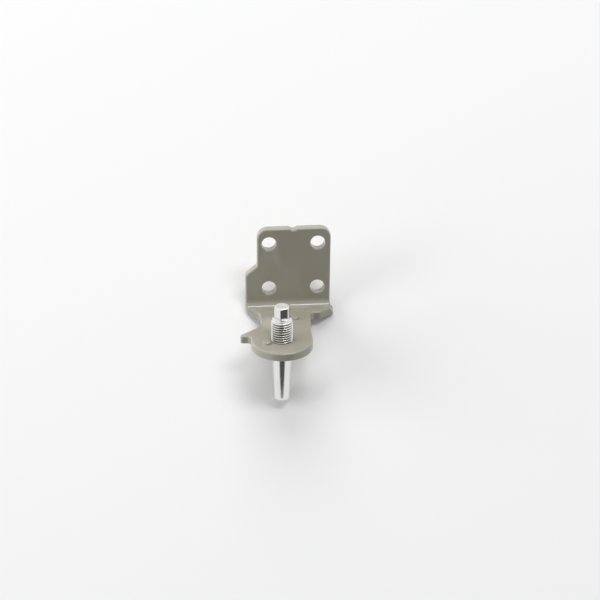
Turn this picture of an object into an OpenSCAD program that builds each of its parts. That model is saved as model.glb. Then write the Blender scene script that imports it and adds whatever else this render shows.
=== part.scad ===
// Fridge door hinge: a folded sheet-steel bracket and the adjustable hinge pin
// that screws through its tongue. Millimetres.
//
// Working axes while modelling: the pin's axis is X = Y = 0 and the tongue's
// top face is Z = 0, with the back plate standing on the +Y side. The finished
// model is then moved so that its origin is the centre of the four screw holes
// on the back plate's mounting face.

/* [Sheet] */
// Thickness of the steel sheet
sheet_thickness = 3; // [2:0.1:4]
// Inside radius of the fold
bend_inner_radius = 3.3; // [2.5:0.1:5]

/* [Back plate] */
// From the pin's axis to the plate's front face
pin_to_plate = 25.5; // [24:0.1:32]
// Height of the plate above the tongue's top face
plate_height = 31.6; // [30:0.1:40]
// From the pin's axis to the plate's right edge
plate_right = 20.2; // [18.5:0.1:24]
// From the pin's axis to the plate's left edge above the shoulder
plate_left_upper = 7.0; // [6.5:0.1:9.5]
// From the pin's axis to the plate's left edge below the shoulder
plate_left_lower = 11.3; // [10.8:0.1:14]
// Height of the shoulder's outer corner above the tongue
shoulder_height = 13.2; // [9:0.1:16]
// Rise of the sloping shoulder
shoulder_rise = 3.45; // [2.5:0.05:5]
// Radius of the shoulder's outer corner
shoulder_outer_radius = 2.5; // [0.5:0.1:3]
// Radius in the shoulder's inner corner
shoulder_inner_radius = 1.5; // [0.5:0.1:2.5]
// Radius of the two top corners
top_corner_radius = 4.0; // [2:0.1:5]
// Width of the shallow notch in the top edge
notch_width = 3.0; // [2:0.1:5]
// Depth of the shallow notch in the top edge
notch_depth = 0.6; // [0.3:0.05:1]

/* [Screw holes] */
// Diameter of the four screw holes
hole_diameter = 5.3; // [4:0.1:6]
// Distance between hole centres, side to side
hole_spacing_x = 18; // [16:0.1:19]
// Distance between hole centres, up and down
hole_spacing_z = 18; // [15:0.1:19]
// From the pin's axis to the middle of the hole pattern
hole_pattern_x = 6.4; // [5.8:0.1:7.4]
// Height of the middle of the hole pattern above the tongue
hole_pattern_z = 16.7; // [16:0.1:18]

/* [Tongue] */
// Radius of the round end, about the pin's axis
end_radius = 11.35; // [10:0.05:13]
// From the pin's axis to the left side of the neck
neck_left = 6.5; // [6:0.1:8]
// Radius in the notch between the neck and the stop lug
neck_notch_radius = 5.0; // [2:0.1:6]
// From the pin's axis to the right side of the neck at its root
neck_right_root = 12.7; // [12:0.1:14]
// From the pin's axis to where the neck starts to widen
neck_flare_start = 8.0; // [5:0.1:12]
// From the plate's front face to the front of the right ear
ear_front_right = 5.7; // [5.5:0.1:7]
// From the plate's front face to the front of the left ear
ear_front_left = 5.0; // [4.5:0.1:6.5]
// From the pin's axis to the right ear's front corner
ear_corner_right = 16.0; // [15:0.1:17]
// How far the right ear stands out past the plate's edge
ear_overhang = 1.15; // [0.5:0.05:2]
// Radius of the left ear's rounded corner
ear_corner_radius = 3.5; // [2:0.1:4]
// Radius in the corners where the ears meet the neck
ear_root_radius = 1.5; // [0.5:0.1:1.8]

/* [Stop lug] */
// From the pin's axis to the tip of the lug
lug_reach = 14.7; // [13.5:0.1:17]
// From the pin's axis back to the lug's stop face
lug_face_y = 3.0; // [1:0.1:5]
// Width of the lug's tip
lug_tip_width = 1.5; // [1:0.1:3]
// Radius of the lug's front corner
lug_corner_radius = 1.1; // [0.4:0.1:1.2]
// Angle of the lug's back edge
lug_back_angle = 38; // [30:1:45]

/* [Locating pips] */
// Diameter of the two pressed pips
pip_diameter = 3.0; // [2:0.1:4]
// Height of the pips above the tongue
pip_height = 0.9; // [0.5:0.1:1.5]
// Rear pip, to the right of the pin's axis
pip_rear_x = 6.0; // [5:0.1:8]
// Rear pip, behind the pin's axis
pip_rear_y = 15.2; // [12:0.1:17]
// Front pip, to the left of the pin's axis
pip_front_x = 5.5; // [5:0.1:7]
// Front pip, in front of the pin's axis
pip_front_y = 3.0; // [3:0.1:5]

/* [Hinge pin] */
// Outside diameter of the thread
thread_diameter = 7.9; // [7:0.05:8.2]
// Running gap around the thread in the tapped hole, on the radius
thread_gap = 0.05; // [0.02:0.01:0.1]
// Length of thread above the tongue, down from its chamfer
thread_above = 7.4; // [5:0.1:10]
// Length of thread below the tongue
thread_below = 2.6; // [2:0.1:5]
// Height of the chamfer at the top of the thread
thread_chamfer = 1.4; // [0.5:0.1:2]
// Diameter of the round neck under the hexagon
neck_diameter = 6.5; // [6.2:0.05:6.8]
// Height of the round neck
neck_height = 0.4; // [0.2:0.1:1]
// Size of the hexagon across its flats
hex_across_flats = 5.2; // [4.5:0.1:5.3]
// Height of the hexagon
hex_height = 4.2; // [3:0.1:6]
// Turn of the hexagon about the pin's axis
hex_turn = 14; // [0:1:60]
// Diameter of the flat on the hexagon's top
hex_top_diameter = 4.3; // [3:0.1:4.4]
// Height of the chamfer round the hexagon's top
hex_top_chamfer = 0.45; // [0.2:0.05:0.8]
// Diameter of the smooth journal that carries the door
journal_diameter = 6.86; // [5:0.02:6.9]
// From the tongue's top face down to the journal's end
journal_reach = 24.3; // [18:0.1:30]
// Radius round the journal's end
journal_end_radius = 0.9; // [0.3:0.1:1.5]
// Chamfer at each mouth of the tapped hole
tapped_hole_chamfer = 0.35; // [0.2:0.05:0.6]

/* [Hidden] */
$fn = 96;
eps = 0.5;

plate_back = pin_to_plate + sheet_thickness;
bend_outer_radius = bend_inner_radius + sheet_thickness;
tapped_hole_radius = thread_diameter / 2 + thread_gap;
hex_corner_diameter = hex_across_flats / cos(30);
hex_bottom = thread_above + thread_chamfer + neck_height;
pin_top = hex_bottom + hex_height;
ear_right_y = pin_to_plate - ear_front_right;
ear_left_y = pin_to_plate - ear_front_left;
shoulder_top = shoulder_height + shoulder_rise;
notch_x = (plate_right - plate_left_upper) / 2 - 0.3;
notch_radius = (notch_width * notch_width / 4 + notch_depth * notch_depth) / (2 * notch_depth);
lug_tip_y = lug_face_y + lug_tip_width;
// where the lug's sloping back edge meets the neck's left side
lug_root_y = lug_tip_y + (lug_reach - neck_left) * tan(lug_back_angle);
overhang_x = plate_right + ear_overhang;

function unit(v) = v / norm(v);
function half_angle(a, p, b) = acos(unit(a - p) * unit(b - p)) / 2;
function turn(a, p, b) = (p[0] - a[0]) * (b[1] - p[1]) - (p[1] - a[1]) * (b[0] - p[0]);
function corner_centre(a, p, b, r) = p + unit(unit(a - p) + unit(b - p)) * r / sin(half_angle(a, p, b));

// An outline, listed anticlockwise, whose corners are rounded to true arcs.
module rounded_outline(pts, radii) {
    n = len(pts);
    function prev(i) = pts[(i + n - 1) % n];
    function next(i) = pts[(i + 1) % n];
    difference() {
        union() {
            polygon([for (i = [0 : n - 1]) each
                radii[i] == 0 ? [pts[i]] :
                let (a = prev(i), p = pts[i], b = next(i), r = radii[i],
                     t = r / tan(half_angle(a, p, b)))
                [p + unit(a - p) * t, corner_centre(a, p, b, r), p + unit(b - p) * t]]);
            for (i = [0 : n - 1])
                if (radii[i] > 0 && turn(prev(i), pts[i], next(i)) > 0)
                    translate(corner_centre(prev(i), pts[i], next(i), radii[i]))
                        circle(r = radii[i]);
        }
        for (i = [0 : n - 1])
            if (radii[i] > 0 && turn(prev(i), pts[i], next(i)) < 0)
                translate(corner_centre(prev(i), pts[i], next(i), radii[i]))
                    circle(r = radii[i]);
    }
}

// Side view of the fold, as [Y, Z]: the tongue and a quarter-ring bend.
module fold_section() {
    bend_centre = [pin_to_plate - bend_inner_radius, bend_inner_radius];
    translate([-lug_reach, -sheet_thickness])
        square([lug_reach + bend_centre[0], sheet_thickness]);
    intersection() {
        translate(bend_centre) difference() {
            circle(r = bend_outer_radius);
            circle(r = bend_inner_radius);
        }
        translate([bend_centre[0], -sheet_thickness]) square(bend_outer_radius);
    }
}

// Front view of the plate, as [X, Z], from the top of the bend upwards.
module plate_outline() {
    difference() {
        rounded_outline(
            [[-plate_left_lower, bend_inner_radius],
             [plate_right, bend_inner_radius],
             [plate_right, plate_height],
             [-plate_left_upper, plate_height],
             [-plate_left_upper, shoulder_top],
             [-plate_left_lower, shoulder_height]],
            [0, 0, top_corner_radius, top_corner_radius,
             shoulder_inner_radius, shoulder_outer_radius]);
        translate([notch_x, plate_height + notch_radius - notch_depth])
            circle(r = notch_radius);
        for (x = [-1, 1], z = [-1, 1])
            translate([hole_pattern_x + x * hole_spacing_x / 2,
                       hole_pattern_z + z * hole_spacing_z / 2])
                circle(d = hole_diameter);
    }
}

// Front view of what is cut away beside the plate, as [X, Z], which leaves the
// right ear standing out a little under the bend.
module ear_trim() {
    polygon([[plate_right, bend_outer_radius + eps],
             [plate_right, -0.1 * sheet_thickness],
             [plate_right + 0.3 * ear_overhang, -0.3 * sheet_thickness],
             [overhang_x + eps, -0.6 * sheet_thickness],
             [overhang_x + 2 * eps, bend_outer_radius + eps]]);
}

// Plan of the tongue, as [X, Y]: ears at the fold, neck, stop lug, round end.
module tongue_outline() {
    rounded_outline(
        [[-plate_left_lower, plate_back + eps],
         [-plate_left_lower, ear_left_y + (plate_left_lower - neck_left) * 0.92],
         [-neck_left, ear_left_y],
         [-neck_left, lug_root_y],
         [-lug_reach, lug_tip_y],
         [-lug_reach, lug_face_y],
         [0, lug_face_y],
         [0, 0],
         [end_radius, 0],
         [end_radius, neck_flare_start],
         [neck_right_root, ear_right_y],
         [ear_corner_right, ear_right_y],
         [overhang_x, ear_right_y + (overhang_x - ear_corner_right) * 0.65],
         [overhang_x, plate_back + eps]],
        [0, ear_corner_radius, ear_root_radius, neck_notch_radius, 0.4,
         lug_corner_radius, 0, 0, 0, 0, ear_root_radius, 0.5, 1.0, 0]);
    circle(r = end_radius);
}

// A pip pressed up from the sheet: rounded stud above, punch mark below.
module pip_stud() {
    rotate_extrude()
        polygon([[0, -sheet_thickness / 2], [pip_diameter / 2, -sheet_thickness / 2],
                 [pip_diameter / 2, pip_height * 0.55],
                 [pip_diameter / 2 - pip_height * 0.18, pip_height * 0.85],
                 [pip_diameter / 2 - pip_height * 0.45, pip_height], [0, pip_height]]);
}

module pip_places() {
    translate([pip_rear_x, pip_rear_y]) children();
    translate([-pip_front_x, -pip_front_y]) children();
}

module bracket_shape() {
    difference() {
        union() {
            // the upright plate
            translate([0, plate_back, 0]) rotate([90, 0, 0])
                linear_extrude(sheet_thickness) plate_outline();
            // the bend and the tongue, folded as wide as the blank and then
            // trimmed to the tongue's plan
            difference() {
                intersection() {
                    translate([-lug_reach - eps, 0, 0]) rotate([90, 0, 90])
                        linear_extrude(lug_reach + overhang_x + 2 * eps) fold_section();
                    translate([0, 0, -sheet_thickness - eps])
                        linear_extrude(bend_outer_radius + 2 * eps) tongue_outline();
                }
                translate([0, plate_back + eps, 0]) rotate([90, 0, 0])
                    linear_extrude(plate_back) ear_trim();
            }
            pip_places() pip_stud();
        }
        // tapped hole, drawn at the thread's outside diameter
        translate([0, 0, -sheet_thickness - eps])
            cylinder(r = tapped_hole_radius, h = sheet_thickness + 2 * eps);
        translate([0, 0, -tapped_hole_chamfer])
            cylinder(r1 = tapped_hole_radius, r2 = tapped_hole_radius + tapped_hole_chamfer + eps,
                     h = tapped_hole_chamfer + eps);
        translate([0, 0, -sheet_thickness - eps])
            cylinder(r1 = tapped_hole_radius + tapped_hole_chamfer + eps, r2 = tapped_hole_radius,
                     h = tapped_hole_chamfer + eps);
        // punch marks under the pips
        pip_places() translate([0, 0, -sheet_thickness - eps])
            cylinder(d = pip_diameter + 0.2, h = pip_height + eps);
    }
}

module pin_shape() {
    r_thread = thread_diameter / 2;
    r_neck = neck_diameter / 2;
    r_journal = journal_diameter / 2;
    r_end = journal_end_radius;
    low_thread = -sheet_thickness - thread_below;
    step = r_thread - r_journal;
    // the cone that chamfers the hexagon's top, run on past the corners
    r_flat = hex_top_diameter / 2;
    r_cone = hex_corner_diameter / 2 + eps;
    cone_slope = hex_top_chamfer / (hex_corner_diameter / 2 - r_flat);
    difference() {
        union() {
            rotate_extrude()
                polygon([[0, -journal_reach + r_end], [r_journal, -journal_reach + r_end],
                         [r_journal, low_thread - step], [r_thread, low_thread],
                         [r_thread, thread_above], [r_neck, thread_above + thread_chamfer],
                         [r_neck, hex_bottom], [0, hex_bottom]]);
            // rounded end
            rotate_extrude() intersection() {
                union() {
                    translate([0, -journal_reach]) square([r_journal - r_end, 2 * r_end]);
                    translate([r_journal - r_end, -journal_reach + r_end]) circle(r = r_end);
                }
                translate([0, -journal_reach - eps]) square([r_journal + eps, r_end + eps]);
            }
            // hexagon with a chamfered top
            intersection() {
                translate([0, 0, hex_bottom - eps / 2]) rotate(hex_turn)
                    cylinder(d = hex_corner_diameter, h = hex_height + eps, $fn = 6);
                rotate_extrude()
                    polygon([[0, hex_bottom - eps], [r_cone, hex_bottom - eps],
                             [r_cone, pin_top - (r_cone - r_flat) * cone_slope],
                             [r_flat, pin_top], [0, pin_top]]);
            }
        }
    }
}

// Puts the origin at the middle of the screw holes on the mounting face.
module in_frame() {
    translate([-hole_pattern_x, -plate_back, -hole_pattern_z]) children();
}

module bracket() { color("darkkhaki") in_frame() bracket_shape(); }
module hinge_pin() { color("silver") in_frame() pin_shape(); }

bracket();
hinge_pin();
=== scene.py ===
"""Looks for the fridge door hinge: a folded sheet-steel bracket and the threaded
hinge pin that screws through its tongue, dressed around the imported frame.

Shapes are worked out in millimetres on the pin's own axes (pin axis X = Y = 0,
tongue top Z = 0, back plate on +Y) and moved into the frame's metres at the end.
"""

import bpy
import numpy as np
from mathutils import Matrix
from mathutils.geometry import delaunay_2d_cdt


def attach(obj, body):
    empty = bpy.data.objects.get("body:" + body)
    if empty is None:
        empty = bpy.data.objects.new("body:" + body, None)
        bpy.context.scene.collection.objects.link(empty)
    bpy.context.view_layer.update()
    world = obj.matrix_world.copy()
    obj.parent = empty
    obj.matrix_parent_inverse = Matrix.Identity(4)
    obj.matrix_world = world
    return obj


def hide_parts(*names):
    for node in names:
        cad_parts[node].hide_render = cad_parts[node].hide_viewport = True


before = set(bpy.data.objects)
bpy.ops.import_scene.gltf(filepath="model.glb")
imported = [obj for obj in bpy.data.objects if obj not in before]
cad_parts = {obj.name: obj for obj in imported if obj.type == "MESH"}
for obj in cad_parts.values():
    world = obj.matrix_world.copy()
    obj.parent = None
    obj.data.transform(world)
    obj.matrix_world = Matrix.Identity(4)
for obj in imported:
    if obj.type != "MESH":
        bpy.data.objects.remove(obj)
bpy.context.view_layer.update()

MM = 0.001
# the middle of the screw holes on the mounting face, on the pin's own axes
FRAME_ORIGIN = np.array([6.4, 28.5, 16.7])

# ---------------------------------------------------------------- sizes, mm
SHEET = 3.0
BEND_INNER = 3.3
PIN_TO_PLATE = 25.5
PLATE_HEIGHT = 31.6
PLATE_RIGHT = 20.2
PLATE_LEFT_UPPER = -7.0
PLATE_LEFT_LOWER = -11.3
SHOULDER_HEIGHT, SHOULDER_RISE = 13.2, 3.45
END_RADIUS = 11.35
NECK_LEFT = -6.5
NECK_RIGHT, NECK_FLARE = 12.7, 8.0
EAR_RIGHT_Y, EAR_LEFT_Y = 19.8, 20.5
EAR_CORNER = 16.0
EAR_SLOPE = 0.65
EAR_OVERHANG = 1.15
LUG_REACH, LUG_FACE, LUG_TIP, LUG_ROOT = -14.7, 3.0, 4.5, 10.907
EAR_CORNER_RADIUS, EAR_ROOT_LEFT, EAR_ROOT_RIGHT = 3.5, 2.6, 1.5
LEFT_EAR_SLOPE = 0.92
NECK_NOTCH_RADIUS, NECK_FLARE_RADIUS = 5.0, 20.0
LUG_BACK_RADIUS, LUG_FRONT_RADIUS, LUG_FILLET = 0.75, 0.9, 1.4
PLATE_CORNER, SHOULDER_INNER, SHOULDER_OUTER = 4.0, 1.5, 2.5
NOTCH_SHIFT, NOTCH_HALF, NOTCH_POINT = -0.3, 1.5, 1.172
NOTCH_LIP, NOTCH_FLOOR = 0.8, 2.0
HOLE_RADIUS, HOLE_PITCH = 2.65, 18.0
HOLE_X, HOLE_Z = 6.4, 16.7
PIPS = ((6.0, 15.2), (-5.5, -3.0))
PIP_RADIUS, PIP_HEIGHT = 1.5, 0.9
TAPPED_RADIUS = 4.0

THREAD_CREST, THREAD_ROOT, THREAD_PITCH = 3.95, 3.4, 0.93
THREAD_TOP, THREAD_BOTTOM = 7.4, -5.6
THREAD_CHAMFER = 1.4
NECK_RADIUS = 3.25
HEX_BOTTOM, HEX_TOP = 9.2, 13.4
HEX_FLAT, HEX_TURN = 2.6, 14.0
HEX_TOP_RADIUS, HEX_CHAMFER = 2.15, 0.45
DISH_SHARE, DISH_DEPTH = 0.86, 0.18
JOURNAL_RADIUS, JOURNAL_END, JOURNAL_ROUND = 3.43, -24.3, 0.9

BEND_START = PIN_TO_PLATE - BEND_INNER
BEND_MIDDLE = BEND_INNER + SHEET / 2
BEND_LENGTH = BEND_MIDDLE * np.pi / 2


def along_sheet(height):
    """Distance along the blank of a place at this height on the back plate."""
    return BEND_START + BEND_LENGTH + height - BEND_INNER


# ------------------------------------------------------------ the folded blank
def ease(t):
    """Smooth step of t from 0 to 1."""
    t = np.clip(t, 0, 1)
    return t * t * (3 - 2 * t)


def folded(q):
    """Where a place in the flat blank ends up: q is (x, s, h), s the distance
    along the blank and h the height above its lower face. The blank runs flat up
    to BEND_START, then round a quarter turn of radius BEND_INNER + SHEET - h, then
    straight up. The ear's lower half is swelled sideways."""
    x, s, h = q[..., 0], q[..., 1], q[..., 2]
    turn = np.clip((s - BEND_START) / BEND_MIDDLE, 0, np.pi / 2)
    radius = BEND_INNER + SHEET - h
    up = np.maximum(s - BEND_START - BEND_LENGTH, 0)
    y = np.minimum(s, BEND_START) + radius * np.sin(turn)
    z = BEND_INNER - radius * np.cos(turn) + up
    swell = EAR_OVERHANG * ease((-0.25 - z) / 1.2)
    swell = swell * np.clip((x - EAR_CORNER) / (PLATE_RIGHT - EAR_CORNER), 0, 1)
    return np.stack([x + swell, y + EAR_SLOPE * swell * (1 - ease(turn)), z], -1)


def folded_normals(q, n):
    """Normals n of the flat blank's surface carried through the fold, by the
    inverse transpose of the fold's slope at each place."""
    step = 1e-4
    slope = np.stack(
        [(folded(q + step * e) - folded(q - step * e)) / (2 * step) for e in np.eye(3)],
        -1,
    )
    out = np.linalg.solve(np.swapaxes(slope, -1, -2), n[..., None])[..., 0]
    return out / np.linalg.norm(out, axis=-1, keepdims=True)


def rounded_loop(corners, spacing=0.5, arc_step=6.0):
    """A closed outline, listed anticlockwise as (x, s, radius), as points and
    outward normals. Each corner is a true arc, and the straight runs between the
    arcs are cut into pieces no longer than spacing."""
    p = np.array([c[:2] for c in corners], float)
    points, normals = [], []
    arcs = []
    for i, (_, _, radius) in enumerate(corners):
        a, b = p[i - 1] - p[i], p[(i + 1) % len(p)] - p[i]
        a, b = a / np.linalg.norm(a), b / np.linalg.norm(b)
        half = np.arccos(np.clip(a @ b, -1, 1)) / 2
        left_turn = -a[0] * b[1] + a[1] * b[0] > 0
        middle = (a + b) / np.linalg.norm(a + b)
        centre = p[i] + middle * radius / np.sin(half)
        sweep = np.pi - 2 * half
        n = max(3, int(np.ceil(np.degrees(sweep) / arc_step)) + 1)
        first = p[i] + a * radius / np.tan(half) - centre
        t = np.linspace(0, sweep, n) * (1 if left_turn else -1)
        c, s = np.cos(t), np.sin(t)
        spoke = np.stack([first[0] * c - first[1] * s, first[0] * s + first[1] * c], -1)
        arcs.append(
            (centre + spoke, spoke / radius if left_turn else -spoke / radius)
        )
    for i, (arc, outward) in enumerate(arcs):
        points.append(arc)
        normals.append(outward)
        end, start = arc[-1], arcs[(i + 1) % len(arcs)][0][0]
        length = np.linalg.norm(start - end)
        pieces = int(np.ceil(length / spacing))
        if pieces > 1:
            t = np.linspace(0, 1, pieces + 1)[1:-1, None]
            run = (start - end) / length
            points.append(end + (start - end) * t)
            normals.append(np.tile([run[1], -run[0]], (pieces - 1, 1)))
    points, normals = np.vstack(points), np.vstack(normals)
    keep = np.linalg.norm(points - np.roll(points, 1, axis=0), axis=1) > 1e-4
    return points[keep], normals[keep]


def round_loop(x, s, radius, count=48):
    """A round hole's edge, clockwise, so that its outward side is the hole."""
    t = -np.linspace(0, 2 * np.pi, count, endpoint=False)
    spoke = np.stack([np.cos(t), np.sin(t)], -1)
    return np.array([x, s]) + radius * spoke, -spoke


def edge_profile(top, bottom, steps=5):
    """A cut edge as rows of (inset, height, outward, upward): a quarter round of
    radius top, the plain wall, and a quarter round of radius bottom."""
    t = np.linspace(0, np.pi / 2, steps + 1)
    upper = np.stack(
        [top * (1 - np.sin(t)), SHEET - top * (1 - np.cos(t)), np.sin(t), np.cos(t)], -1
    )
    t = t[::-1]
    lower = np.stack(
        [bottom * (1 - np.sin(t)), bottom * (1 - np.cos(t)), np.sin(t), -np.cos(t)], -1
    )
    return np.vstack([upper, lower])


class Skin:
    """Gathers vertices, normals and faces of one closed surface."""

    def __init__(self):
        self.q, self.n, self.faces, self.count = [], [], [], 0

    def add(self, q, n):
        """Adds places with their normals and returns their numbers."""
        q = np.asarray(q, float)
        shape = q.shape[:-1]
        self.q.append(q.reshape(-1, 3))
        self.n.append(np.broadcast_to(n, q.shape).reshape(-1, 3))
        numbers = self.count + np.arange(self.q[-1].shape[0])
        self.count += len(numbers)
        return numbers.reshape(shape)

    def quads(self, rows):
        """Faces between neighbouring rows of a grid that closes on itself."""
        a, b = rows[:-1], rows[1:]
        c, d = np.roll(b, -1, axis=1), np.roll(a, -1, axis=1)
        self.faces.append(np.stack([a, b, c, d], -1).reshape(-1, 4))

    def fan(self, ring, pole):
        """Faces from a ring to one closing point."""
        self.faces.append(
            np.stack([ring, np.full(len(ring), pole), np.roll(ring, -1)], -1)
        )

    def mesh(self, name, place, turn_normals):
        """The finished mesh, in metres in the frame's axes."""
        q, n = np.vstack(self.q), np.vstack(self.n)
        points = (place(q) - FRAME_ORIGIN) * MM
        mesh = bpy.data.meshes.new(name)
        faces = [f for block in self.faces for f in block.tolist()]
        mesh.from_pydata(points.tolist(), [], faces)
        mesh.polygons.foreach_set("use_smooth", np.ones(len(faces), bool))
        mesh.validate()
        mesh.normals_split_custom_set_from_vertices(turn_normals(q, n).tolist())
        mesh.update()
        return mesh


def carried(skin, loop, normals, profile):
    """Carries an edge profile along an outline. Returns the first and last row."""
    inset, height, out, up = (profile[:, i, None] for i in range(4))
    flat = loop[None] - normals[None] * inset[..., None]
    q = np.concatenate([flat, np.broadcast_to(height[..., None], (*flat.shape[:2], 1))], -1)
    n = np.concatenate(
        [normals[None] * out[..., None], np.broadcast_to(up[..., None], (*flat.shape[:2], 1))],
        -1,
    )
    rows = skin.add(q, n)
    skin.quads(rows)
    return rows[0], rows[-1]


def turned(skin, x, s, profile, count=36):
    """A round stud or recess about (x, s): rows of (radius, height, outward,
    upward) from the sheet's face to the middle, closed by one point."""
    t = np.linspace(0, 2 * np.pi, count, endpoint=False)
    if profile[0, 3] > 0:
        t = -t
    spoke = np.stack([np.cos(t), np.sin(t)], -1)
    radius, height, out, up = (profile[:-1, i, None, None] for i in range(4))
    flat = np.array([x, s]) + radius * spoke
    tall = np.broadcast_to(height, (*flat.shape[:2], 1))
    n = np.concatenate([spoke * out, np.broadcast_to(up, tall.shape)], -1)
    rows = skin.add(np.concatenate([flat, tall], -1), n)
    skin.quads(rows)
    pole = skin.add([[x, s, profile[-1, 1]]], [[0, 0, profile[-1, 3]]])
    skin.fan(rows[-1], pole[0])
    return rows[0]


def inside(points, loops):
    """Which points lie in the sheet: the crossings of a ray to the right with
    all the loops together are odd in number."""
    odd = np.zeros(len(points), bool)
    for loop in loops:
        a, b = loop, np.roll(loop, -1, axis=0)
        x, s = points[:, :1], points[:, 1:]
        spans = (a[None, :, 1] > s) != (b[None, :, 1] > s)
        rise = np.where(b[:, 1] == a[:, 1], 1, b[:, 1] - a[:, 1])
        at = a[:, 0] + (s - a[:, 1]) / rise * (b[:, 0] - a[:, 0])
        odd ^= (np.sum(spans & (at > x), axis=1) % 2).astype(bool)
    return odd


def filled(skin, rings, height, upward):
    """Fills a face of the sheet between its rings of vertices with triangles. Rows
    of extra points across the bend keep its curve."""
    places = np.vstack(skin.q)
    loops = [places[ring][:, :2] for ring in rings]
    edge = np.vstack(loops)
    across = np.arange(PLATE_LEFT_LOWER, PLATE_RIGHT + 1.5, 0.8)
    rows = BEND_START + np.linspace(0, BEND_LENGTH, 17)
    grid = np.stack(np.meshgrid(across, rows), -1).reshape(-1, 2)
    gap = np.linalg.norm(grid[:, None] - edge[None], axis=-1).min(axis=1)
    grid = grid[inside(grid, loops) & (gap > 0.35)]
    q = np.concatenate([grid, np.full((len(grid), 1), height)], -1)
    extra = skin.add(q, [0, 0, upward])
    numbers = np.concatenate([*rings, extra])
    flat = np.vstack([edge, grid])
    starts = np.cumsum([0] + [len(r) for r in rings])
    bounds = [
        (int(a + i), int(a + (i + 1) % (b - a)))
        for a, b in zip(starts[:-1], starts[1:])
        for i in range(b - a)
    ]
    verts, _, tris, origin, _, _ = delaunay_2d_cdt(flat.tolist(), bounds, [], 0, 1e-6)
    if len(verts) != len(flat):
        raise RuntimeError("the face's outlines cross each other")
    back = numbers[[o[0] for o in origin]]
    tris = np.array(tris)
    middle = flat[[o[0] for o in origin]][tris].mean(axis=1)
    tris = back[tris[inside(middle, loops)]]
    skin.faces.append(tris if upward > 0 else tris[:, ::-1])


def pip_profile(foot, brow, steps=5):
    """A pip as rows of (radius, height, outward, upward): a quarter round of
    radius foot up from the face, another of radius brow over the edge, and the
    flat middle."""
    t = np.linspace(0, np.pi / 2, steps + 1)
    sin, cos = np.sin(t), np.cos(t)
    rise = [PIP_RADIUS + foot * (1 - sin), foot * (1 - cos), sin, cos]
    over = [PIP_RADIUS - brow * (1 - cos), PIP_HEIGHT - brow * (1 - sin), cos, sin]
    middle = [[0.4, PIP_HEIGHT, 0, 1], [0, PIP_HEIGHT, 0, 1]]
    return np.vstack([np.stack(rise, -1), np.stack(over, -1), middle])


def bracket_skin():
    """The whole bracket as one closed skin in the flat blank's places."""
    top = along_sheet(PLATE_HEIGHT)
    notch_x = (PLATE_RIGHT + PLATE_LEFT_UPPER) / 2 + NOTCH_SHIFT
    shoulder = along_sheet(SHOULDER_HEIGHT)
    ear_y = EAR_RIGHT_Y + EAR_SLOPE * (PLATE_RIGHT - EAR_CORNER)
    ear_left_y = EAR_LEFT_Y + LEFT_EAR_SLOPE * (NECK_LEFT - PLATE_LEFT_LOWER)
    # the round end starts where the fillet of the lug's stop face touches it
    drop = LUG_FACE - LUG_FILLET
    reach = END_RADIUS + LUG_FILLET
    start = np.pi - np.arcsin(drop / reach)
    thirds = (2 * np.pi - start) / 3
    meet_x = (END_RADIUS - LUG_FACE * np.sin(start)) / np.cos(start)
    apex = END_RADIUS / np.cos(thirds / 2)
    middles = start + thirds * (np.arange(3) + 0.5)
    corners = [
        (NECK_RIGHT, EAR_RIGHT_Y, EAR_ROOT_RIGHT),
        (EAR_CORNER, EAR_RIGHT_Y, 0.9),
        (PLATE_RIGHT, ear_y, 1.0),
        (PLATE_RIGHT, top, PLATE_CORNER),
        (notch_x + NOTCH_HALF, top, NOTCH_LIP),
        (notch_x, top - NOTCH_POINT, NOTCH_FLOOR),
        (notch_x - NOTCH_HALF, top, NOTCH_LIP),
        (PLATE_LEFT_UPPER, top, PLATE_CORNER),
        (PLATE_LEFT_UPPER, shoulder + SHOULDER_RISE, SHOULDER_INNER),
        (PLATE_LEFT_LOWER, shoulder, SHOULDER_OUTER),
        (PLATE_LEFT_LOWER, ear_left_y, EAR_CORNER_RADIUS),
        (NECK_LEFT, EAR_LEFT_Y, EAR_ROOT_LEFT),
        (NECK_LEFT, LUG_ROOT, NECK_NOTCH_RADIUS),
        (LUG_REACH, LUG_TIP, LUG_BACK_RADIUS),
        (LUG_REACH, LUG_FACE, LUG_FRONT_RADIUS),
        (meet_x, LUG_FACE, LUG_FILLET),
        *((apex * np.cos(m), apex * np.sin(m), END_RADIUS) for m in middles),
        (END_RADIUS, NECK_FLARE, NECK_FLARE_RADIUS),
    ]
    skin = Skin()
    upper, lower = [], []

    def cut(loop, normals, profile):
        first, last = carried(skin, loop, normals, profile)
        upper.append(first)
        lower.append(last)

    loop, normals = rounded_loop(corners)
    cut(loop, normals, edge_profile(0.7, 0.2))
    for i in (-0.5, 0.5):
        for j in (-0.5, 0.5):
            cut(
                *round_loop(
                    HOLE_X + i * HOLE_PITCH,
                    along_sheet(HOLE_Z + j * HOLE_PITCH),
                    HOLE_RADIUS,
                ),
                edge_profile(0.45, 0.15),
            )
    cut(*round_loop(0, 0, TAPPED_RADIUS, 72), edge_profile(0.25, 0.25, 3))

    stud = pip_profile(0.25, 0.5)
    stud[:, 1] += SHEET
    # the punch's mark below has the stud's shape with its normals turned round
    dent = pip_profile(0.15, 0.2) * [1, 1, -1, -1]
    for x, s in PIPS:
        upper.append(turned(skin, x, s, stud))
        lower.append(turned(skin, x, s, dent))
    filled(skin, upper, SHEET, 1)
    filled(skin, lower, 0.0, -1)
    return skin


# ------------------------------------------------------------ the threaded pin
def hexagon(angle):
    """Distance from the axis to the hexagon's side, with softly rounded corners:
    the flat's half width over the 48-norm of the flats' cosines."""
    flats = np.radians(HEX_TURN + 30 + 60 * np.arange(6))
    lean = np.maximum(np.cos(angle[..., None] - flats), 0) ** 48
    return HEX_FLAT / lean.sum(axis=-1) ** (1 / 48)


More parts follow.
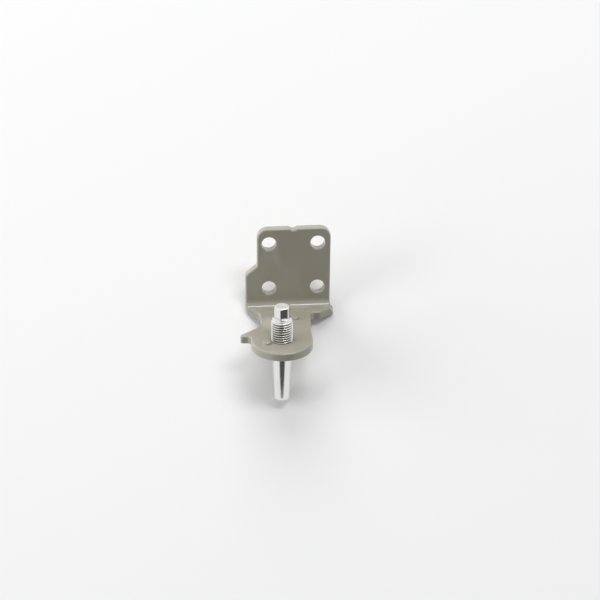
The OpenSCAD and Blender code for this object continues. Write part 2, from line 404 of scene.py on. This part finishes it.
def thread(angle, z):
    """Distance from the axis to the right-hand thread's surface: a wave along the
    helix z / pitch - angle, with flat crests and roots."""
    phase = (z / THREAD_PITCH - angle / (2 * np.pi)) % 1.0
    wave = np.clip(0.54 + 1.9 * (0.5 - 2 * np.abs(phase - 0.5)), 0, 1)
    crest = THREAD_ROOT + (THREAD_CREST - THREAD_ROOT) * wave
    cone = THREAD_CREST - (z - THREAD_TOP) / THREAD_CHAMFER * (THREAD_CREST - NECK_RADIUS)
    crest = np.minimum(crest, cone)
    fade = ease((z - THREAD_BOTTOM) / 1.2)
    return JOURNAL_RADIUS + (crest - JOURNAL_RADIUS) * fade


def pin_rows():
    """The pin's side as rows of (kind, radius, z) from the tip to the top. Kind 0
    is plain and round, 1 is thread, 2 is the hexagon, 3 is a share of it."""
    t = np.linspace(0, np.pi / 2, 9)[1:]
    r = JOURNAL_ROUND
    inner = JOURNAL_RADIUS - r
    rows = [(0, x, JOURNAL_END) for x in (0.6, 1.6, inner)]
    rows += [(0, inner + r * np.sin(a), JOURNAL_END + r * (1 - np.cos(a))) for a in t]
    rows += [(0, JOURNAL_RADIUS, z) for z in np.linspace(JOURNAL_END + r, THREAD_BOTTOM, 24)[1:]]
    turns = int((THREAD_TOP + THREAD_CHAMFER - THREAD_BOTTOM) / THREAD_PITCH * 18)
    rows += [(1, 0, z) for z in np.linspace(THREAD_BOTTOM, THREAD_TOP + THREAD_CHAMFER, turns)[1:]]
    rows += [(0, NECK_RADIUS, z) for z in (HEX_BOTTOM - 0.15, HEX_BOTTOM - 0.06)]
    rows += [(0, NECK_RADIUS - 0.06, HEX_BOTTOM), (0, NECK_RADIUS - 0.12, HEX_BOTTOM)]
    rows += [(2, 0, z) for z in (HEX_BOTTOM, HEX_BOTTOM + 0.05)]
    rows += [(2, 0, z) for z in np.linspace(HEX_BOTTOM + 0.3, HEX_TOP - 1.2, 6)]
    rows += [(2, 0, z) for z in np.linspace(HEX_TOP - 1.1, HEX_TOP, 23)]
    rows += [(3, share, HEX_TOP) for share in (0.985, 0.93, DISH_SHARE)]
    for share in (0.95, 0.85, 0.7, 0.5, 0.3, 0.12):
        rows += [(3, DISH_SHARE * share, HEX_TOP - DISH_DEPTH * (1 - share**2))]
    return np.array(rows)


def pin_surface(angle, row):
    """The pin's surface at this angle and (fractional) row, as (x, y, z)."""
    table = pin_rows()
    kind, radius, z = table[row, 0], table[row, 1], table[row, 2]
    slope = HEX_CHAMFER / (HEX_FLAT / np.cos(np.pi / 6) - HEX_TOP_RADIUS)
    flats = np.minimum(hexagon(angle), HEX_TOP_RADIUS + (HEX_TOP - z) / slope)
    r = np.select(
        [kind == 1, kind == 2, kind == 3],
        [thread(angle, z), flats, HEX_TOP_RADIUS * radius],
        radius,
    )
    return np.stack([r * np.cos(angle), r * np.sin(angle), z + 0 * r], -1)


def grid_normals(points):
    """Normals of a closed grid of points from the differences of neighbours."""
    around = np.roll(points, -1, axis=1) - np.roll(points, 1, axis=1)
    along = np.gradient(points, axis=0)
    n = np.cross(around, along)
    return n / np.maximum(np.linalg.norm(n, axis=-1, keepdims=True), 1e-12)


def pin_skin(columns=144):
    """The whole pin as one closed skin, tip to top."""
    angle = np.radians(HEX_TURN) + np.linspace(0, 2 * np.pi, columns, endpoint=False)
    rows = np.arange(len(pin_rows()))
    points = pin_surface(angle[None], rows[:, None])
    skin = Skin()
    numbers = skin.add(points, grid_normals(points))
    skin.quads(numbers[:, ::-1])
    tip = skin.add([[0, 0, JOURNAL_END]], [[0, 0, -1]])
    head = skin.add([[0, 0, HEX_TOP - DISH_DEPTH]], [[0, 0, 1]])
    skin.fan(numbers[0], tip[0])
    skin.fan(numbers[-1][::-1], head[0])
    return skin


# ------------------------------------------------------------------ materials
class Value:
    """A shader socket with ordinary arithmetic. Each operator adds a Math node."""

    def __init__(self, paint, socket):
        self.paint, self.socket = paint, socket

    def _math(self, operation, a, b=None):
        inputs = {0: a} if b is None else {0: a, 1: b}
        return self.paint.add("ShaderNodeMath", {"operation": operation}, inputs)

    def __add__(self, other):
        return self._math("ADD", self, other)

    def __sub__(self, other):
        return self._math("SUBTRACT", self, other)

    def __rsub__(self, other):
        return self._math("SUBTRACT", other, self)

    def __mul__(self, other):
        return self._math("MULTIPLY", self, other)

    __radd__, __rmul__ = __add__, __mul__

    def clamped(self):
        """The value held between 0 and 1."""
        return self._math("MINIMUM", self._math("MAXIMUM", self, 0.0), 1.0)

    def power(self, exponent):
        """The value raised to this exponent."""
        return self._math("POWER", self, exponent)


class Paint:
    """One material and the means to build it in expressions."""

    def __init__(self, name):
        self.material = bpy.data.materials.new(name)
        self.material.use_nodes = True
        self.tree = self.material.node_tree
        self.tree.nodes.clear()
        self.out = self.tree.nodes.new("ShaderNodeOutputMaterial")

    def add(self, kind, settings=None, inputs=None, output=0):
        """Adds a node: its settings first, then its inputs' values or links."""
        node = self.tree.nodes.new(kind)
        for key, value in (settings or {}).items():
            setattr(node, key, value)
        for key, value in (inputs or {}).items():
            if isinstance(value, Value):
                self.tree.links.new(value.socket, node.inputs[key])
            else:
                node.inputs[key].default_value = value
        return Value(self, node.outputs[output])

    def blend(self, share, a, b):
        """Colour a turning into colour b as share goes from 0 to 1."""
        return self.add(
            "ShaderNodeMix", {"data_type": "RGBA"}, {0: share, 6: a, 7: b}, output=2
        )

    def places(self):
        """Object coordinates, which are the frame's metres."""
        return self.add("ShaderNodeTexCoord", output=3)

    def noise(self, scale, detail=2.0, roughness=0.5, places=None):
        """A noise value about 0.5 at this scale per metre."""
        return self.add(
            "ShaderNodeTexNoise",
            None,
            {
                "Vector": places or self.places(),
                "Scale": scale,
                "Detail": detail,
                "Roughness": roughness,
            },
        )

    def stretched(self, scale):
        """Object coordinates scaled by a different amount along each axis."""
        return self.add("ShaderNodeMapping", None, {0: self.places(), 3: scale})

    def bump(self, height, distance, strength=1.0):
        """A bumped normal from a height, in metres of distance."""
        return self.add(
            "ShaderNodeBump",
            None,
            {"Height": height, "Distance": distance, "Strength": strength},
        )

    def finish(self, surface):
        """Links the surface to the output and returns the material."""
        self.tree.links.new(surface.socket, self.out.inputs[0])
        return self.material


def bracket_paint():
    """Grey-beige satin finish with a fine skin and faint clouds of tone."""
    p = Paint("bracket_finish")
    clouds = p.noise(90.0, 3.0, 0.55)
    grain = p.noise(1500.0, 3.0, 0.6)
    share = (clouds * 1.6 - 0.3).clamped()
    tone = p.blend(share, (0.332, 0.315, 0.255, 1), (0.350, 0.332, 0.270, 1))
    surface = p.add(
        "ShaderNodeBsdfPrincipled",
        None,
        {
            "Base Color": tone,
            "Roughness": 0.20 + clouds * 0.06,
            "Metallic": 0.0,
            "Specular IOR Level": 0.5,
            "Coat Weight": 0.6,
            "Coat Roughness": 0.08,
            "Normal": p.bump(grain, 0.00001, 0.5),
        },
    )
    return p.finish(surface)


def pin_plating():
    """Bright plated steel, with fine turning lines round the pin's axis."""
    p = Paint("bright_plating")
    rings = p.noise(1.0, 3.0, 0.6, p.stretched((300.0, 300.0, 9000.0)))
    clouds = p.noise(220.0, 2.0)
    tone = p.blend(clouds, (0.80, 0.80, 0.785, 1), (0.86, 0.86, 0.85, 1))
    # the end face is cut off square and left duller than the plated sides
    across, back, height = (
        p.add("ShaderNodeSeparateXYZ", None, {0: p.places()}, output=i) for i in range(3)
    )
    x, y = across + FRAME_ORIGIN[0] * MM, back + FRAME_ORIGIN[1] * MM
    # painted shade: the thread's root is darkened in the base colour and the crests are left
    # bright
    radius = (x * x + y * y).power(0.5)
    in_root = ((THREAD_CREST - 0.12) * MM - radius) * (1000.0 / 0.3)
    in_thread = ((height - (THREAD_BOTTOM + 1 - FRAME_ORIGIN[2]) * MM) * 2000.0).clamped()
    below_cone = (((THREAD_TOP + 0.3 - FRAME_ORIGIN[2]) * MM - height) * 3000.0).clamped()
    painted_root_shade = in_root.clamped() * in_thread * below_cone
    # the roots' painted shade, mixed into the base colour
    tone = p.blend(painted_root_shade * 0.85, tone, (0.16, 0.16, 0.15, 1))
    end = ((height - (HEX_TOP - FRAME_ORIGIN[2] - 0.25) * MM) * 20000.0).clamped()
    surface = p.add(
        "ShaderNodeBsdfPrincipled",
        None,
        {
            "Base Color": tone,
            "Roughness": 0.06 + rings * 0.06 + end * 0.5,
            "Metallic": 1.0,
            "Normal": p.bump(rings, 0.000004, 0.4),
        },
    )
    return p.finish(surface)


# --------------------------------------------------------------- pieces
def piece(skin, name, material, place, turn_normals, body, node):
    """Makes a piece from its skin and has it stand for its CAD node."""
    mesh = skin.mesh(name, place, turn_normals)
    mesh.materials.append(material)
    obj = bpy.data.objects.new(name, mesh)
    bpy.context.scene.collection.objects.link(obj)
    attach(obj, body)
    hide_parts(node)
    return obj


piece(
    bracket_skin(), "folded_bracket", bracket_paint(), folded, folded_normals,
    "bracket", "bracket",
)
piece(
    pin_skin(), "threaded_pin", pin_plating(), lambda q: q, lambda q, n: n,
    "pin", "hinge_pin",
)

# --------------------------------------------------------------- the stage
# The part leans on the journal's rounded end and the outside of the fold, so the
# table touches both rounds.
tip_round = np.array([JOURNAL_RADIUS - JOURNAL_ROUND, JOURNAL_END + JOURNAL_ROUND])
fold_round = np.array([BEND_START, BEND_INNER])
between = fold_round - tip_round
away = np.arctan2(between[1], between[0]) - np.arccos(
    (JOURNAL_ROUND - BEND_INNER - SHEET) / np.linalg.norm(between)
)
DOWN = np.array([0.0, np.cos(away), np.sin(away)])
UP = -DOWN
TABLE_POINT = np.array([0.0, *(tip_round + JOURNAL_ROUND * DOWN[1:])])
RIGHT = np.array([1.0, 0.0, 0.0])
BACK = np.cross(UP, RIGHT)


def on_table(right, back, up):
    """A place so far right, back and up from where the journal rests, in the
    frame's metres."""
    p = TABLE_POINT + right * RIGHT + back * BACK + up * UP
    return (p - FRAME_ORIGIN) * MM


def table_paint(shade=0.90):
    """A white table that shows from above only."""
    p = Paint("table")
    surface = p.add(
        "ShaderNodeBsdfPrincipled",
        None,
        {
            "Base Color": (shade, shade, shade * 1.005, 1),
            "Roughness": 0.6,
            "Specular IOR Level": 0.2,
        },
    )
    behind = p.add("ShaderNodeNewGeometry", output=6)
    clear = p.add("ShaderNodeBsdfTransparent")
    return p.finish(p.add("ShaderNodeMixShader", None, {0: behind, 1: surface, 2: clear}))


def flat_card(name, corners, material):
    """A flat four-cornered piece of the stage."""
    mesh = bpy.data.meshes.new(name)
    mesh.from_pydata([tuple(c) for c in corners], [], [(0, 1, 2, 3)])
    mesh.materials.append(material)
    obj = bpy.data.objects.new(name, mesh)
    bpy.context.scene.collection.objects.link(obj)
    return obj


FAR = 2500.0
flat_card(
    "table",
    [on_table(x * FAR, y * FAR, 0) for x, y in ((-1, -1), (1, -1), (1, 1), (-1, 1))],
    table_paint(),
)


def dark_paint(shade=0.07):
    """The even dark grey of an unlit room."""
    p = Paint("dark_room")
    colour = {"Color": (shade, shade, shade, 1), "Strength": 1.0}
    return p.finish(p.add("ShaderNodeEmission", None, colour))


# a dark room in front of the table, met by reflections alone
ROOM_SIDE, ROOM_FRONT, ROOM_LOW, ROOM_HIGH = 160, -220, 57, 520
room = flat_card(
    "dark_room",
    [
        on_table(-ROOM_SIDE, ROOM_FRONT, ROOM_LOW),
        on_table(ROOM_SIDE, ROOM_FRONT, ROOM_LOW),
        on_table(ROOM_SIDE, ROOM_FRONT, ROOM_HIGH),
        on_table(-ROOM_SIDE, ROOM_FRONT, ROOM_HIGH),
    ],
    dark_paint(),
)
room.visible_camera = False
room.visible_diffuse = False
room.visible_shadow = False
room.visible_transmission = False


def lamp(name, place, size, power):
    """A soft area lamp at a place on the table's axes, aimed at the part. Its
    size is its width and height in millimetres, its power in watts."""
    data = bpy.data.lights.new(name, "AREA")
    data.shape = "RECTANGLE"
    data.size, data.size_y = size[0] * MM, size[1] * MM
    data.energy = power
    obj = bpy.data.objects.new(name, data)
    bpy.context.scene.collection.objects.link(obj)
    here, there = on_table(*place), on_table(*LAMP_AIM)
    z = (here - there) / np.linalg.norm(here - there)
    x = np.cross([0, 1, 0.01], z)
    x /= np.linalg.norm(x)
    m = np.eye(4)
    m[:3, 0], m[:3, 1], m[:3, 2], m[:3, 3] = x, np.cross(z, x), z, here
    obj.matrix_world = Matrix(m.tolist())
    return obj


LAMP_AIM = (0, 20, 20)
# the overhead lamp alone is mirrored, as the thin bright line along the fold
lamp("overhead", (600, 800, 1960), (1240, 400), 14.4)
for soft in (
    lamp("back_window", (-200, 1880, 1260), (1600, 1600), 28.0),
    lamp("left_fill", (-1620, 210, 550), (1000, 1000), 18.8),
):
    soft.visible_glossy = False


def surround(dim=0.31, pale=(0.88, 0.88, 0.89, 1)):
    """The room's light: dim on the part, and pale where the camera, a mirror or
    glass looks at it."""
    world = bpy.data.worlds.new("surround")
    world.use_nodes = True
    tree = world.node_tree
    tree.nodes.clear()
    path = tree.nodes.new("ShaderNodeLightPath")
    seen = path.outputs["Is Camera Ray"]
    for ray in ("Is Glossy Ray", "Is Transmission Ray"):
        either = tree.nodes.new("ShaderNodeMath")
        either.operation = "MAXIMUM"
        tree.links.new(seen, either.inputs[0])
        tree.links.new(path.outputs[ray], either.inputs[1])
        seen = either.outputs[0]
    mix = tree.nodes.new("ShaderNodeMixShader")
    tree.links.new(seen, mix.inputs[0])
    for slot, colour, strength in ((1, (1, 1, 1, 1), dim), (2, pale, 1.0)):
        light = tree.nodes.new("ShaderNodeBackground")
        light.inputs[0].default_value = colour
        light.inputs[1].default_value = strength
        tree.links.new(light.outputs[0], mix.inputs[slot])
    out = tree.nodes.new("ShaderNodeOutputWorld")
    tree.links.new(mix.outputs[0], out.inputs[0])
    return world


bpy.context.scene.world = surround()

# --------------------------------------------------------------- the camera
# rows: to the right, down and forward in the picture, on the frame's axes
CAMERA_ROWS = np.array(
    [
        [0.995160368, -0.097814522, 0.009389463],
        [-0.036545897, -0.457120360, -0.888653686],
        [0.091215350, 0.884009783, -0.458482785],
    ]
)
CAMERA_PLACE = np.array([-0.056483376, -0.575857162, 0.282669762])
camera_data = bpy.data.cameras.new("camera")
camera_data.sensor_width = 36.0
camera_data.lens = 104.2218
camera_data.clip_start, camera_data.clip_end = 0.01, 20.0
camera = bpy.data.objects.new("camera", camera_data)
bpy.context.scene.collection.objects.link(camera)
pose = np.eye(4)
pose[:3, 0], pose[:3, 1], pose[:3, 2] = CAMERA_ROWS[0], -CAMERA_ROWS[1], -CAMERA_ROWS[2]
pose[:3, 3] = CAMERA_PLACE
camera.matrix_world = Matrix(pose.tolist())
bpy.context.scene.camera = camera

bpy.context.scene.view_settings.view_transform = "Standard"

bpy.context.view_layer.update()
